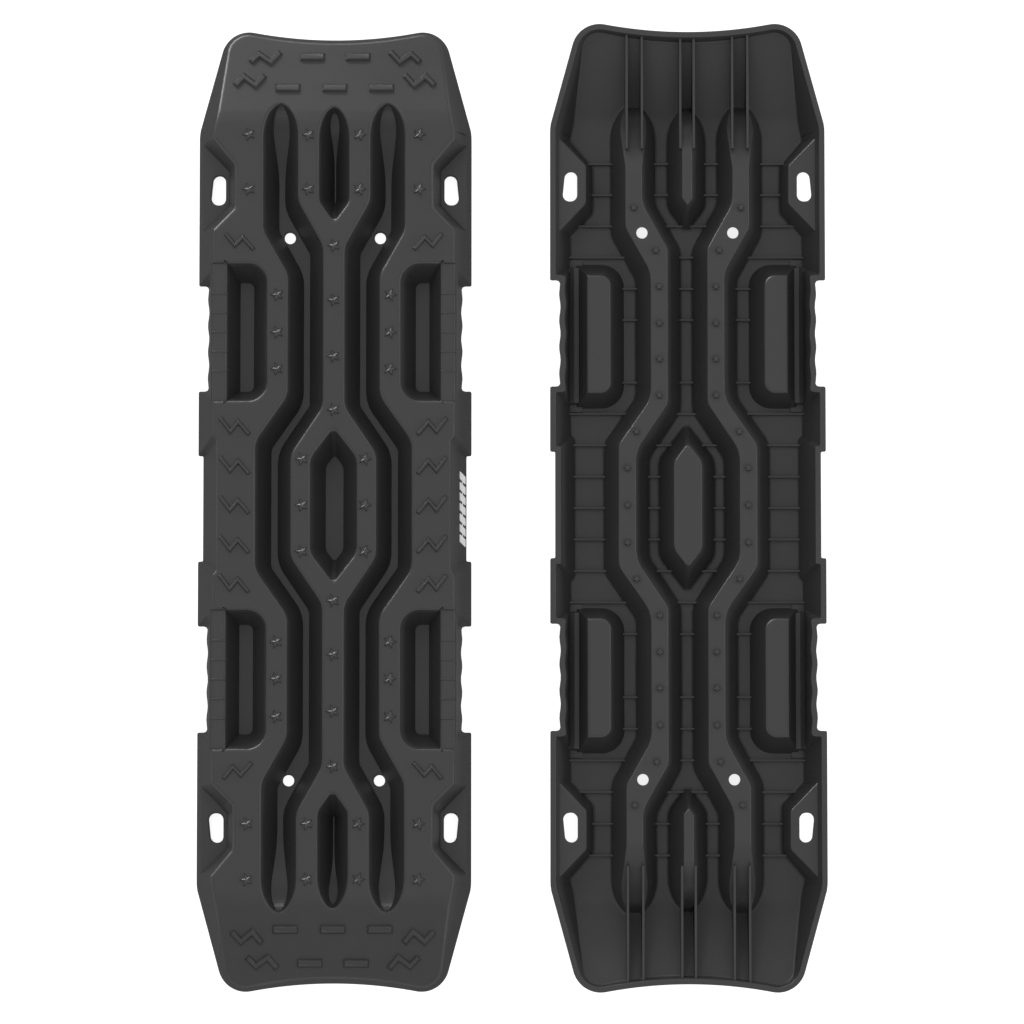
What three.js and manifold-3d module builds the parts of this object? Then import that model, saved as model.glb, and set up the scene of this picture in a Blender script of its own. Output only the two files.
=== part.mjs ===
// A pair of tire traction boards: one lies deck up, the other lies turned over.
// Units are millimetres, +Z is up, +Y runs along the boards.
// A board is built about its own middle, with its rim on z = 0 and its deck at the top.

import * as THREE from "three";
import { mergeVertices } from "three/addons/utils/BufferGeometryUtils.js";
import Module from "manifold-3d";

const wasm = await Module();
wasm.setup();

// ---- driving dimensions -------------------------------------------------

const BOARD_SPACING = 389; // between the long centrelines of the two boards
const DECK_Z = 55; // deck height over the rim
const DECK_THICK = 4.6;
const WALL = 6.2; // skirt, measured level
const RELIEF = 3; // height of the raised stars and zigzags
const RAMP_RELIEF = 4; // height of the zigzags and bars on the sloped ends

const RIM_HALF = 151.5; // half width at the rim
const WAIST_HALF = 146; // half width between the two middle tabs
const GRIP_RIM_HALF = 140.6; // half width of the rim beside a grip
const DECK_HALF = 132.3; // half width of the deck
const WAIST_DECK_HALF = 127.9;
const GRIP_DECK_HALF = 133.8; // outer edge of a grip bar
const SKIRT_RUN = 19.2; // how far the skirt leans in over the full height

const WAIST_END = 58.4; // the middle tabs run from here
const GRIP_START = 130.4; // to here, where the grip begins
const GRIP_END = 247.4;
const TAPER_START = 418.6; // the sides lean in towards the tips from here
const CORNER_R = 31;
const CORNER_X = 96.5;
const CORNER_Y = 501.5;
const TIP_DIP_Y = 523.5; // the tips are hollow in the middle
const RAMP_START = 430; // the deck slopes down to the tip from here
const RAMP_SLOPE = 0.424;

const DRAFT = 0.352; // lean of the trough walls
const FLOOR_Z = 8; // top of the channel floors
const FLOOR_THICK = 4; // the studs reach from under a floor to the ground
const TROUGH_WALL = 7; // measured level
const SCOOP_WALL = 5.2; // thickness where a floor sweeps up

const CHANNEL_HALF = 19.7;
const CHANNEL_BEND = 28; // radius of a bend at the deck
const CHANNEL_STRAIGHT_END = 408; // the rounded end starts here
const CHANNEL_END_LENGTH = 35;
const CHANNEL_SCOOP = [[354, 8], [376, 10.5], [400, 19.6], [420, 27.4], [434, 36.4], [444, 51]];
const SLOT_HALF = 17.2; // centre slots at both ends
const SLOT_STRAIGHT_END = 405;
const SLOT_END_LENGTH = 33.6;
const SLOT_TIP_Y = 311.5;
const SLOT_SHOULDER_Y = 335.5;
const SLOT_SCOOP = [[370, 8], [393, 10], [414, 19.2], [432, 34], [441, 49]];
const POCKET_HALF = 26.3; // centre pocket
const POCKET_SHOULDER_Y = 52;
const POCKET_TIP_Y = 86.5;

const HAND_IN_X = 72.8;
const HAND_OUT_X = 118.2;
const HAND_START = 114.6;
const HAND_END = 267.4;
const HAND_FLOOR_Z = 11;
const HAND_CORNER_R = 25;
const HAND_DRAFT = { inX: 0.38, outX: 0.31, start: 0.33, end: 0.4 };
const HAND_WALL = { inX: 5.7, outX: 6.3, start: 5.8, end: 5.5 };
const GRIP_DROP = 4; // the grip bar sits this much under the deck
const GRIP_THICK = 13;
const GRIP_BAR_WIDTH = 7; // of its underside
const GRIP_RIDGES = 5;
const GRIP_RIDGE_PITCH = 21.4;
const GRIP_MID_Y = 191;

const NOTCH_FLOOR_Z = 16;
const NOTCH_WALL = 5.6;
const STRAP_IN_X = 121.2;
const STRAP_MID_Y = 352.7;
const STRAP_LENGTH = 32;
const PIN_X = 50;
const PIN_Y = 300.6;
const PIN_R = 6.15;
const PIN_SEAT_R = 9;

const STAR_R = 7.3;
const STAR_POINTS = 5;
const RIB_PITCH = 34.8;
const RIB_THICK = 2.2;
const RIB_DEPTH = 4.8;
const END_RIB_THICK = 2.8;
const END_RIB_START = 394;
const END_RIB_XS = [7.4, 49.8, 66.6];
const GROUND_STUD_R = 4.7;
const GROUND_STUD_YS = [0, 41, 81, 121, 161, 200.5, 241, 281, 328.5];

const MARK_LENGTH = 86;
const MARK_HEIGHT = 19; // measured up the skirt
const MARK_FOOT = 6; // from the rim up to its lower edge
const MARK_THICK = 0.8;
const MARK_GAP = 0.3;

// ---- solids -------------------------------------------------------------

const vec = (x, y) => new THREE.Vector2(x, y);

// A closed solid for joining and cutting, from any closed geometry.
function solid(geometry) {
  const clean = geometry.clone();
  clean.deleteAttribute("normal");
  clean.deleteAttribute("uv");
  const merged = mergeVertices(clean, 1e-4);
  return new wasm.Manifold(new wasm.Mesh({
    numProp: 3,
    vertProperties: new Float32Array(merged.attributes.position.array),
    triVerts: new Uint32Array(merged.index.array),
  }));
}

function geometryOf(body) {
  const mesh = body.getMesh();
  const geometry = new THREE.BufferGeometry();
  geometry.setAttribute("position", new THREE.BufferAttribute(new Float32Array(mesh.vertProperties), 3));
  geometry.setIndex(new THREE.BufferAttribute(new Uint32Array(mesh.triVerts), 1));
  const flat = geometry.toNonIndexed();
  flat.computeVertexNormals();
  return flat;
}

function union(bodies) {
  return bodies.reduce((whole, body) => whole.add(body));
}

function box(x0, x1, y0, y1, z0, z1) {
  const geometry = new THREE.BoxGeometry(x1 - x0, y1 - y0, z1 - z0);
  geometry.translate((x0 + x1) / 2, (y0 + y1) / 2, (z0 + z1) / 2);
  return solid(geometry);
}

function prism(points, z0, z1) {
  const geometry = new THREE.ExtrudeGeometry(new THREE.Shape(points), {
    depth: z1 - z0,
    bevelEnabled: false,
    steps: 1,
    curveSegments: 1,
  });
  geometry.translate(0, 0, z0);
  return solid(geometry);
}

function cylinder(x, y, radius, z0, z1, sides = 10) {
  const geometry = new THREE.CylinderGeometry(radius, radius, z1 - z0, sides);
  geometry.rotateX(Math.PI / 2);
  geometry.translate(x, y, (z0 + z1) / 2);
  return solid(geometry);
}

// Skins a stack of outlines, listed from the lowest to the highest, all with the same point count.
function loft(levels) {
  const count = levels[0].outline.length;
  const positions = [];
  const index = [];
  for (const { outline, z } of levels) {
    outline.forEach((p) => positions.push(p.x, p.y, z));
  }
  for (let level = 0; level < levels.length - 1; level += 1) {
    for (let i = 0; i < count; i += 1) {
      const a = level * count + i;
      const b = level * count + (i + 1) % count;
      index.push(a, b, b + count);
      index.push(a, b + count, a + count);
    }
  }
  const top = (levels.length - 1) * count;
  for (const [a, b, c] of THREE.ShapeUtils.triangulateShape(levels[0].outline, [])) {
    index.push(a, c, b);
  }
  for (const [a, b, c] of THREE.ShapeUtils.triangulateShape(levels.at(-1).outline, [])) {
    index.push(top + a, top + b, top + c);
  }
  const geometry = new THREE.BufferGeometry();
  geometry.setAttribute("position", new THREE.Float32BufferAttribute(positions, 3));
  geometry.setIndex(index);
  return solid(geometry);
}

// ---- outlines -----------------------------------------------------------

// Moves every edge of an anticlockwise outline inwards by the distance; a negative one moves it out.
function inset(outline, distance) {
  const count = outline.length;
  return outline.map((p, i) => {
    const before = p.clone().sub(outline[(i + count - 1) % count]).normalize();
    const after = outline[(i + 1) % count].clone().sub(p).normalize();
    const n0 = vec(-before.y, before.x);
    const n1 = vec(-after.y, after.x);
    const scale = distance / (1 + n0.dot(n1));
    return p.clone().add(n0.add(n1).multiplyScalar(scale));
  });
}

function mirrorX(points) {
  return points.map((p) => vec(-p.x, p.y)).reverse();
}

function mirrorY(points) {
  return points.map((p) => vec(p.x, -p.y)).reverse();
}

// A whole outline from the points of its +X +Y quarter, with one extra point on each end.
function fourWay(quarter, tip) {
  const half = [...quarter, tip, ...mirrorX(quarter)];
  return [...half, ...mirrorY(half)];
}

const signs = [[1, 1], [-1, 1], [-1, -1], [1, -1]];

// Copies a body of the +X +Y quarter to the other quarters.
function toQuarters(body) {
  return union(signs.map(([sx, sy]) => body.scale([sx, sy, 1])));
}

function toEnds(body) {
  return body.add(body.scale([1, -1, 1]));
}

// Rim points along the side of one quarter, moved inwards by a thickness.
function rimSide(thick, scallop) {
  const tab = 3;
  const rim = RIM_HALF - thick;
  return [
    vec(WAIST_HALF - thick, WAIST_END + thick),
    vec(rim - tab, WAIST_END + thick),
    vec(rim, WAIST_END + thick + tab),
    vec(rim, GRIP_START - thick - tab),
    vec(rim - tab, GRIP_START - thick),
    vec(GRIP_RIM_HALF - thick, GRIP_START - thick),
    ...gripWave(GRIP_RIM_HALF - thick, scallop),
    vec(GRIP_RIM_HALF - thick, GRIP_END + thick),
    vec(rim - tab, GRIP_END + thick),
    vec(rim, GRIP_END + thick + tab),
    vec(rim, TAPER_START),
  ];
}

// Deck-edge points that pair one to one with those of the rim.
function deckSide(thick, scallop) {
  const deck = DECK_HALF - thick;
  const grip = GRIP_DECK_HALF - thick;
  return [
    vec(WAIST_DECK_HALF - thick, WAIST_END + thick + 13),
    vec(deck - 1, WAIST_END + thick + 17),
    vec(deck, WAIST_END + thick + 19),
    vec(deck, GRIP_START - thick - 16),
    vec(deck, GRIP_START - thick - 14.5),
    vec(grip, GRIP_START - thick - 10),
    ...gripWave(grip, scallop),
    vec(grip, GRIP_END + thick + 11),
    vec(deck, GRIP_END + thick + 15.5),
    vec(deck, GRIP_END + thick + 17),
    vec(deck, TAPER_START),
  ];
}

// Finger scallops along a grip, none when the depth is zero.
function gripWave(half, scallop) {
  const waves = scallop ? 4 : 0;
  const pitch = (GRIP_END - GRIP_START) / 4;
  const points = [];
  for (let i = 0; i < waves; i += 1) {
    points.push(vec(half + scallop, GRIP_START + pitch * (i + 0.5)));
    if (i < waves - 1) {
      points.push(vec(half - scallop, GRIP_START + pitch * (i + 1)));
    }
  }
  return points;
}

// Whole rim outline and the deck-edge outline above it, both moved inwards by a thickness.
function shellOutlines(thick, scallop) {
  const corner = new THREE.Path();
  corner.absarc(CORNER_X, CORNER_Y, CORNER_R, THREE.MathUtils.degToRad(15), THREE.MathUtils.degToRad(100));
  const arc = corner.getPoints(3);
  const last = arc.at(-1);
  const dip = [0.66, 0.33].map((t) => vec(last.x * t, TIP_DIP_Y + (last.y - TIP_DIP_Y) * t * t));
  const end = [...arc, ...dip];
  const side = rimSide(thick, scallop);
  const start = side.length;
  const plain = fourWay([...rimSide(0, scallop), ...end], vec(0, TIP_DIP_Y));
  const from = (outline) => outline.slice(start, start + end.length + 1);
  const rimEnd = from(inset(plain, thick));
  const deckEnd = from(inset(plain, thick + SKIRT_RUN));
  return {
    rim: fourWay([...side, ...rimEnd.slice(0, -1)], rimEnd.at(-1)),
    deck: fourWay([...deckSide(thick, scallop), ...deckEnd.slice(0, -1)], deckEnd.at(-1)),
  };
}

// Insets an outline and then takes each corner off with two points, where a round would start and end.
function bent(corners, radius, distance = 0) {
  const moved = inset(corners, distance);
  const count = moved.length;
  return moved.flatMap((corner, i) => {
    const back = moved[(i + count - 1) % count].clone().sub(corner);
    const onward = moved[(i + 1) % count].clone().sub(corner);
    const turning = -Math.sign(back.x * onward.y - back.y * onward.x);
    const half = Math.acos(back.dot(onward) / (back.length() * onward.length())) / 2;
    const wanted = Math.max(1, radius - turning * distance) / Math.tan(half);
    const reach = Math.min(wanted, back.length() * 0.45, onward.length() * 0.45);
    return [
      corner.clone().addScaledVector(back.normalize(), reach),
      corner.clone().addScaledVector(onward.normalize(), reach),
    ];
  });
}

// Half-ellipse that closes a trough, from its right side over the tip to its left side.
function roundedEnd(x, startY, half, length) {
  return [0, 1, 2, 3, 4, 5, 6].map((i) => {
    const angle = (i * Math.PI) / 6;
    return vec(x + half * Math.cos(angle), startY + length * Math.sin(angle));
  });
}

// ---- troughs ------------------------------------------------------------

// The hollow of a trough and the solid skin round it. The outline comes from insetting the opening.
function trough(outlineAt, floorZ, wall = TROUGH_WALL) {
  const keelZ = floorZ - FLOOR_THICK;
  const hollow = [
    { z: floorZ, outline: outlineAt((DECK_Z - floorZ) * DRAFT) },
    { z: DECK_Z, outline: outlineAt(0) },
    { z: DECK_Z + 6, outline: outlineAt(0) },
  ];
  const skin = [
    { z: keelZ, outline: outlineAt((DECK_Z - keelZ) * DRAFT - wall) },
    { z: DECK_Z - 1, outline: outlineAt(DRAFT - wall) },
  ];
  return { hollow: loft(hollow), skin: loft(skin) };
}

// A trough whose floor sweeps up at its outer ends along a line of [y, z] points.
function sweptTrough(shape, line, x, bothEnds) {
  const under = (lower) => {
    const [lastY, lastZ] = line.at(-1);
    const [firstY, firstZ] = line[0];
    const profile = [
      vec(firstY - 30, -20), vec(lastY + 60, -20), vec(lastY + 60, lastZ + 20),
      ...line.map(([y, z]) => vec(y, z - lower)).reverse(), vec(firstY - 30, firstZ - lower - 0.4),
    ];
    const body = acrossX(profile, x - CHANNEL_HALF - 8, x + CHANNEL_HALF + 8);
    return bothEnds ? toEnds(body) : body;
  };
  return { hollow: shape.hollow.subtract(under(0)), skin: shape.skin.subtract(under(SCOOP_WALL)) };
}

// Right-hand side channel: wide apart at the middle, close together between the grips.
function sideChannel() {
  const x = 58.925;
  const right = [vec(86.5, 70.3), vec(51, 121), vec(51, 254.7), vec(78.6, 303.8)];
  const left = [vec(39.25, 336.3), vec(11.3, 286.3), vec(11.3, 108.7), vec(46.4, 56.7)];
  const far = [vec(x + CHANNEL_HALF, 600), vec(x - CHANNEL_HALF, 600)];
  const upper = [...right, ...far, ...left];
  const outlineAt = (distance) => {
    const points = bent([...upper, ...mirrorY(upper)], CHANNEL_BEND, distance);
    const end = roundedEnd(
      x, CHANNEL_STRAIGHT_END, CHANNEL_HALF - distance, CHANNEL_END_LENGTH - 0.9 * distance,
    );
    const half = [...points.slice(0, right.length * 2), ...end, ...points.slice(right.length * 2 + 4, 20)];
    return [...half, ...mirrorY(half)];
  };
  return sweptTrough(trough(outlineAt, FLOOR_Z), CHANNEL_SCOOP, x, true);
}

function endSlot() {
  const outlineAt = (distance) => {
    const shape = inset([
      vec(0, SLOT_TIP_Y), vec(SLOT_HALF, SLOT_SHOULDER_Y), vec(SLOT_HALF, 600),
      vec(-SLOT_HALF, 600), vec(-SLOT_HALF, SLOT_SHOULDER_Y),
    ], distance);
    const end = roundedEnd(
      0, SLOT_STRAIGHT_END, SLOT_HALF - distance, SLOT_END_LENGTH - 0.9 * distance,
    );
    return [shape[0], shape[1], ...end, shape[4]];
  };
  return sweptTrough(trough(outlineAt, FLOOR_Z, 6), SLOT_SCOOP, 0, false);
}

function centrePocket() {
  const outline = fourWay([vec(POCKET_HALF, POCKET_SHOULDER_Y)], vec(0, POCKET_TIP_Y));
  return trough((distance) => inset(outline, distance), FLOOR_Z);
}

// Finger room behind a grip bar, rounded on its inner side, as it is at a depth under the deck.
function handOutline(depth, wall = { inX: 0, outX: 0, start: 0, end: 0 }) {
  const inX = HAND_IN_X + HAND_DRAFT.inX * depth - wall.inX;
  const outX = HAND_OUT_X - HAND_DRAFT.outX * depth + wall.outX;
  const start = HAND_START + HAND_DRAFT.start * depth - wall.start;
  const end = HAND_END - HAND_DRAFT.end * depth + wall.end;
  const r = HAND_CORNER_R - 0.27 * depth + wall.inX * 0.6;
  const path = new THREE.Path();
  path.moveTo(outX, start);
  path.lineTo(outX, end);
  path.absarc(inX + r, end - r, r, Math.PI / 2, Math.PI);
  path.absarc(inX + r, start + r, r, Math.PI, Math.PI * 1.5);
  return path.getPoints(2);
}

function handPocket() {
  const depth = DECK_Z - HAND_FLOOR_Z;
  const hollow = loft([
    { z: HAND_FLOOR_Z, outline: handOutline(depth) },
    { z: DECK_Z, outline: handOutline(0) },
    { z: DECK_Z + 6, outline: handOutline(0) },
  ]);
  const skin = loft([
    { z: HAND_FLOOR_Z - FLOOR_THICK, outline: handOutline(depth + FLOOR_THICK, HAND_WALL) },
    { z: DECK_Z - GRIP_DROP - 1, outline: handOutline(GRIP_DROP, HAND_WALL) },
  ]);
  return { hollow, skin };
}

// Open notch in the skirt whose floor carries the strap slot.
function strapNotch() {
  const outX = 170;
  const top = [vec(108.8, 328.5), vec(outX, 267.3), vec(outX, 449), vec(108.8, 377)];
  const bottom = [vec(117.4, 336.6), vec(outX, 281.6), vec(outX, 427.8), vec(117.4, 374)];
  const hollow = loft([
    { z: NOTCH_FLOOR_Z, outline: bottom },
    { z: DECK_Z, outline: top },
    { z: DECK_Z + 6, outline: top },
  ]);
  const skin = loft([
    { z: NOTCH_FLOOR_Z - FLOOR_THICK, outline: inset(bottom, -NOTCH_WALL) },
    { z: DECK_Z - 1, outline: inset(top, -NOTCH_WALL - 1) },
  ]);
  return { hollow, skin };
}

// Slot through the notch floor, wider at its inner end.
function strapSlot() {
  const half = STRAP_LENGTH / 2;
  const outline = [
    vec(STRAP_IN_X, STRAP_MID_Y - half), vec(STRAP_IN_X + 16.4, STRAP_MID_Y - half),
    vec(STRAP_IN_X + 13.2, STRAP_MID_Y + half), vec(STRAP_IN_X, STRAP_MID_Y + half),
  ];
  return prism(bent(outline, 5), NOTCH_FLOOR_Z - 12, NOTCH_FLOOR_Z + 8);
}

// ---- raised relief ------------------------------------------------------

// One arm points to the nearer side of the board.
function star(x, y, z0, z1) {
  const points = [];
  const start = x > 0 ? 0 : Math.PI;
  for (let i = 0; i < STAR_POINTS * 2; i += 1) {
    const radius = i % 2 ? STAR_R * 0.5 : STAR_R;
    const angle = start + (i * Math.PI) / STAR_POINTS;
    points.push(vec(x + radius * Math.cos(angle), y + radius * Math.sin(angle)));
  }
  return prism(points, z0, z1);
}

// A band of even width along an open run of points.
function band(run, width) {
  const offsetRun = run.map((p, i) => {
    const before = i > 0 ? p.clone().sub(run[i - 1]).normalize() : null;
    const after = i < run.length - 1 ? run[i + 1].clone().sub(p).normalize() : before;
    const lead = before ?? after;
    const n0 = vec(-lead.y, lead.x);
    const n1 = vec(-after.y, after.x);
    return n0.add(n1).multiplyScalar(width / 2 / (1 + n0.clone().dot(n1)));
  });
  const left = run.map((p, i) => p.clone().add(offsetRun[i]));
  const right = run.map((p, i) => p.clone().sub(offsetRun[i])).reverse();
  const outline = [...left, ...right];
  return THREE.ShapeUtils.isClockWise(outline) ? outline.reverse() : outline;
}

function deckStars() {
  const z0 = DECK_Z - 1;
  const z1 = DECK_Z + RELIEF;
  const quarter = [[93.8, 409.7], [28.2, 409.3], [93.8, 348.9], [28.2, 348.9], [34.6, 50.8]];
  [231.9, 190.5, 150].forEach((y) => quarter.push([62.1, y]));
  const places = quarter.flatMap(([x, y]) => signs.map(([sx, sy]) => [sx * x, sy * y]));
  [286.5, 226.1, 163.9, 105].forEach((y) => places.push([0, y], [0, -y]));
  places.push([34.6, 0], [-34.6, 0]);
  return union(places.map(([x, y]) => star(x, y, z0, z1)));
}

// Zigzags along both edges of the deck.
function deckZigzags() {
  const width = 4.8;
  const z0 = DECK_Z - 1;
  const z1 = DECK_Z + RELIEF;
  const run = [vec(-124.5, 10), vec(-113.1, -5.3), vec(-104.4, 5.2), vec(-92.1, -9.2)];
  const bodies = [];
  for (const y of [-86.5, -43.4, 0, 43.4, 86.5]) {
    const outline = band(run.map((p) => vec(p.x, p.y + y)), width);
    bodies.push(prism(outline, z0, z1), prism(mirrorX(outline), z0, z1));
  }
  const near = [vec(119.4, 299.9), vec(108.8, 286.6), vec(100.2, 295.5), vec(88, 281.7)];
  bodies.push(toQuarters(prism(band(near, width), z0, z1)));
  return union(bodies);
}

// Zigzags and bars on the sloped ends, built level and then laid on the slope.
function rampRelief() {
  const width = 6.6;
  const tall = 60;
  const zigzags = [
    [vec(94.1, 494.2), vec(84.3, 504.1), vec(71.6, 494.8), vec(60.9, 507)],
    [vec(110.5, 466.4), vec(100.4, 477.3), vec(87.8, 466.9), vec(77.5, 479.2)],
  ];
  const bodies = zigzags.map((run) => toQuarters(prism(band(run, width), 0, tall)));
  const bars = [[25.3, 501], [-25.3, 501], [0, 464], [51.8, 464], [-51.8, 464]];
  for (const [x, y] of bars) {
    bodies.push(toEnds(box(x - 14, x + 14, y - 4.5, y + 4.5, 0, tall)));
  }
  const rise = RAMP_RELIEF / Math.cos(Math.atan(RAMP_SLOPE));
  return union(bodies).subtract(aboveDeck(rise)).subtract(belowDeck(1));
}

// ---- deck planes --------------------------------------------------------

// Everything above the deck line raised by the given amount, ramps included.
function aboveDeck(raise) {
  return alongX(deckLine(raise), DECK_Z + 60);
}

function belowDeck(drop) {
  return alongX(deckLine(-drop), -60);
}

function deckLine(raise) {
  const far = 600;
  const low = DECK_Z - (far - RAMP_START) * RAMP_SLOPE + raise;
  return [
    vec(-far, low), vec(-RAMP_START, DECK_Z + raise), vec(RAMP_START, DECK_Z + raise), vec(far, low),
  ];
}

// Sweeps the area between a line of (y, z) points and a level across the whole width.
function alongX(line, level) {
  return acrossX([...line, vec(line.at(-1).x, level), vec(line[0].x, level)], -200, 200);
}

// Extrudes a profile of (y, z) points between two x positions.
function acrossX(profile, x0, x1) {
  const shape = new THREE.Shape(profile);
  const geometry = new THREE.ExtrudeGeometry(shape, { depth: x1 - x0, bevelEnabled: false, steps: 1 });
  geometry.translate(0, 0, x0);
  geometry.applyMatrix4(new THREE.Matrix4().makeBasis(
    new THREE.Vector3(0, 1, 0),
    new THREE.Vector3(0, 0, 1),
    new THREE.Vector3(1, 0, 0),
  ));
  return solid(geometry);
}

// ---- underside ----------------------------------------------------------

function deckRibs() {
  const bodies = [];
  const z0 = DECK_Z - DECK_THICK - RIB_DEPTH;
  for (let i = -11; i <= 11; i += 1) {
    if (Math.abs(i) !== 5) {
      const y = i * RIB_PITCH;
      bodies.push(box(-149, 149, y - RIB_THICK / 2, y + RIB_THICK / 2, z0, DECK_Z - 1));
    }
  }
  return union(bodies);
}

// Deep ribs under the sloped ends, in pairs beside each trough.
function endRibs() {
  const half = END_RIB_THICK / 2;
  const low = FLOOR_Z - FLOOR_THICK;
  const bodies = [];
  for (const x of END_RIB_XS) {
    for (const side of [x, -x]) {
      bodies.push(box(side - half, side + half, END_RIB_START, 528, low, DECK_Z - 1));
    }
  }
  return toEnds(union(bodies));
}

// Middle line of a side channel, for the studs under it.
function channelMiddle(y) {
  const run = [[0, 66.3], [67, 66.3], [117, 31.1], [275, 31.1], [318, 58.9], [420, 58.9]];
  const after = run.findIndex(([at]) => at >= y);
  const [y1, x1] = run[Math.max(after, 1)];
  const [y0, x0] = run[Math.max(after, 1) - 1];
  return x0 + ((x1 - x0) * (y - y0)) / (y1 - y0);
}

function groundStuds() {
  const bodies = [];
  for (const y of GROUND_STUD_YS) {
    const x = channelMiddle(y);
    const stud = cylinder(x, y, GROUND_STUD_R, 0, FLOOR_Z - FLOOR_THICK + 1, 3);
    const places = y === 0 ? signs.slice(0, 2) : signs;
    places.forEach(([sx, sy]) => bodies.push(stud.scale([sx, sy, 1])));
  }
  return union(bodies);
}

// ---- board --------------------------------------------------------------

function skirtOuter() {
  const { rim, deck } = shellOutlines(0, 0.8);
  return loft([{ z: 0, outline: rim }, { z: DECK_Z, outline: deck }]).subtract(aboveDeck(0));
}

function skirtInner() {
  const { rim, deck } = shellOutlines(WALL, 0);
  return loft([
    { z: -10, outline: rim },
    { z: 0, outline: rim },
    { z: DECK_Z, outline: deck },
  ]).subtract(aboveDeck(-DECK_THICK));
}

// Solid parts of the four grips: a thick bar and its finger ridges.
function gripBars() {
  const top = DECK_Z - GRIP_DROP;
  const inner = HAND_OUT_X - 3;
  const low = top - GRIP_THICK;
  const thick = box(inner, inner + 3 + GRIP_BAR_WIDTH, HAND_START - 6, HAND_END + 6, low, top - 1);
  const thin = box(inner, GRIP_DECK_HALF + 2, HAND_START - 6, HAND_END + 6, low + 5, top - 1);
  return toQuarters(thick.add(thin));
}

function gripDrops() {
  return toQuarters(box(HAND_OUT_X - 1, 170, HAND_START, HAND_END, DECK_Z - GRIP_DROP, DECK_Z + 20));
}

function gripRidges() {
  const top = DECK_Z - GRIP_DROP;
  const ridge = [vec(-1.6, -1), vec(1.6, -1), vec(0.6, 0.9), vec(-0.6, 0.9)];
  const bodies = [];
  for (let i = 0; i < GRIP_RIDGES; i += 1) {
    const y = GRIP_MID_Y + (i - (GRIP_RIDGES - 1) / 2) * GRIP_RIDGE_PITCH;
    bodies.push(acrossX(ridge.map((p) => vec(p.x + y, p.y + top)), HAND_OUT_X + 1.5, GRIP_DECK_HALF - 1.5));
  }
  return toQuarters(union(bodies));
}

function pinBosses() {
  return toQuarters(cylinder(PIN_X, PIN_Y, PIN_SEAT_R + WALL, FLOOR_Z - FLOOR_THICK, 26));
}

function pinCuts() {
  const seat = cylinder(PIN_X, PIN_Y, PIN_SEAT_R, FLOOR_Z, 44);
  return toQuarters(seat.add(cylinder(PIN_X, PIN_Y, PIN_R, 0, FLOOR_Z + 2)));
}

function board() {
  const outer = skirtOuter();
  const channel = sideChannel();
  const slot = endSlot();
  const pocket = centrePocket();
  const hand = handPocket();
  const notch = strapNotch();
  const bothSides = (body) => body.add(body.scale([-1, 1, 1]));

  const skins = union([
    bothSides(channel.skin), toEnds(slot.skin), pocket.skin,
    toQuarters(hand.skin), toQuarters(notch.skin), pinBosses(),
  ]);
  const hollows = union([
    bothSides(channel.hollow), toEnds(slot.hollow), pocket.hollow,
    toQuarters(hand.hollow), toQuarters(notch.hollow), toQuarters(strapSlot()), pinCuts(),
  ]);
  const inside = union([skins, deckRibs(), endRibs(), gripBars()]).intersect(outer);
  return outer
    .subtract(skirtInner())
    .add(inside)
    .subtract(hollows)
    .subtract(gripDrops())
    .add(gripRidges())
    .add(deckStars())
    .add(deckZigzags())
    .add(rampRelief())
    .add(groundStuds());
}

// White mark on the skirt: slanted bars joined by one narrow stripe.
function mark() {
  const bars = 7;
  const slant = 5;
  const pitch = (MARK_LENGTH - slant) / bars;
  const middle = MARK_HEIGHT / 2;
  const reach = MARK_LENGTH / 2 - slant;
  const bodies = [box(-reach, reach, middle - 1, middle + 1, 0, MARK_THICK)];
  for (let i = 0; i < bars; i += 1) {
    const x = -MARK_LENGTH / 2 + pitch * i;
    const outline = [
      vec(x, 0), vec(x + pitch - 3, 0), vec(x + pitch - 3 + slant, MARK_HEIGHT), vec(x + slant, MARK_HEIGHT),
    ];
    bodies.push(prism(outline, 0, MARK_THICK));
  }
  return union(bodies);
}

// ---- assembly -----------------------------------------------------------

function plastic(colour, roughness) {
  return new THREE.MeshStandardMaterial({ color: colour, roughness, metalness: 0 });
}

function named(name, geometry, material) {
  const mesh = new THREE.Mesh(geometry, material);
  mesh.name = name;
  return mesh;
}

function assembly() {
  const group = new THREE.Group();
  group.name = "tire_traction_mats";
  const boardGeometry = geometryOf(board());

  const faceUp = named("board_face_up", boardGeometry, plastic(0x2b2b2c, 0.62));
  faceUp.position.set(-BOARD_SPACING / 2, 0, 0);

  const turned = named("board_underside_up", boardGeometry.clone(), plastic(0x2a2a2b, 0.6));
  turned.rotation.y = Math.PI;
  turned.position.set(BOARD_SPACING / 2, 0, DECK_Z + RELIEF);

  const lean = Math.atan2(DECK_Z, WAIST_HALF - WAIST_DECK_HALF);
  const label = named("side_mark", geometryOf(mark()), plastic(0xf0f0ee, 0.5));
  const out = new THREE.Vector3(Math.sin(lean), 0, Math.cos(lean));
  const up = new THREE.Vector3(-Math.cos(lean), 0, Math.sin(lean));
  const along = new THREE.Vector3(0, 1, 0);
  const basis = new THREE.Matrix4().makeBasis(along, up, out);
  const foot = new THREE.Vector3(WAIST_HALF - BOARD_SPACING / 2, 0, 0);
  foot.addScaledVector(up, MARK_FOOT).addScaledVector(out, MARK_GAP);
  label.quaternion.setFromRotationMatrix(basis);
  label.position.copy(foot);

  group.add(faceUp, turned, label);
  return group;
}

export default assembly();
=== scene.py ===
"""A pair of moulded tire traction boards: one lies deck up, the other lies turned over."""
import math

import bmesh
import bpy
import numpy as np
from mathutils import Matrix, Vector


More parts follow.
